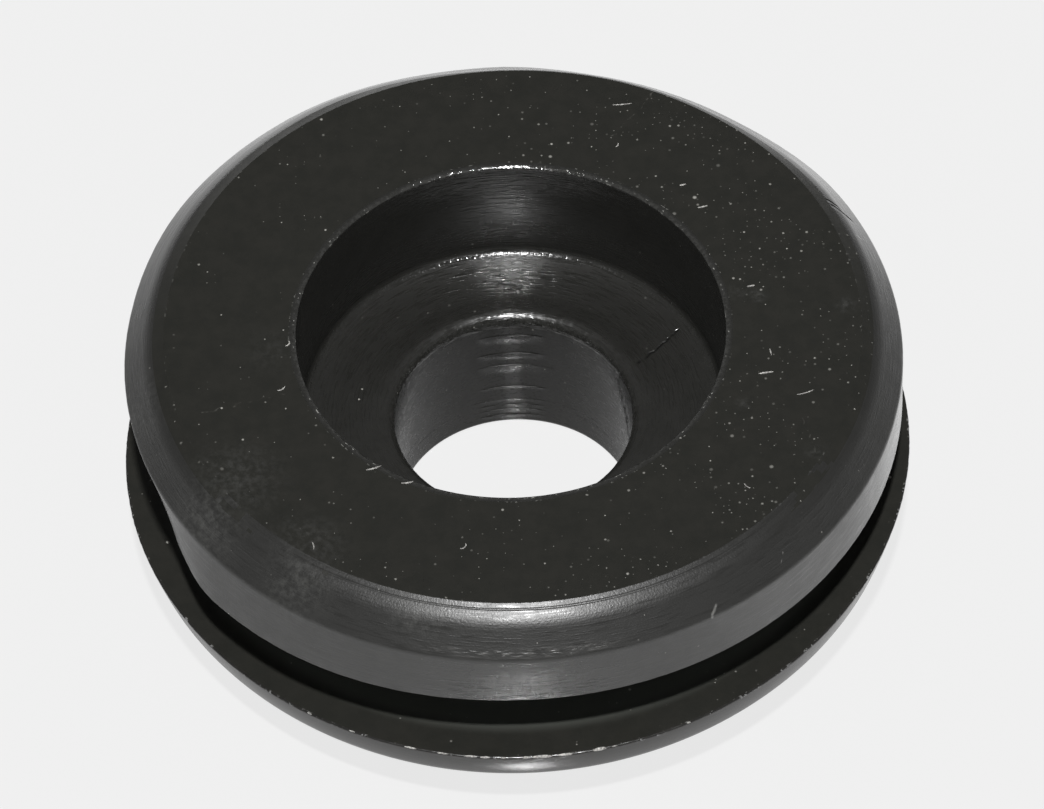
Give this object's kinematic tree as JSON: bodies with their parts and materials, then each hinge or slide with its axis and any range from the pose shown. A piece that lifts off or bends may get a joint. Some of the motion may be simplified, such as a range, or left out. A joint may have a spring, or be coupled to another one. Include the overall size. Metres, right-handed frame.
{
  "type": "rubber gasket",
  "caption": "Round black rubber gasket with an outer groove that grips a panel, a bevelled head, a rounded foot and a stepped hole along its axis.",
  "frame": {"origin": "centre of the bottom face, on the axis of the bore", "axes": "+Z along the axis, from the foot flange to the head flange; the part is round, so X and Y are free"},
  "size_m": [0.04, 0.04, 0.0146],
  "materials": {
    "rubber": "satin, finely turned"
  },
  "bodies": {
    "root": {"gasket": "rubber"}
  },
  "joints": []
}
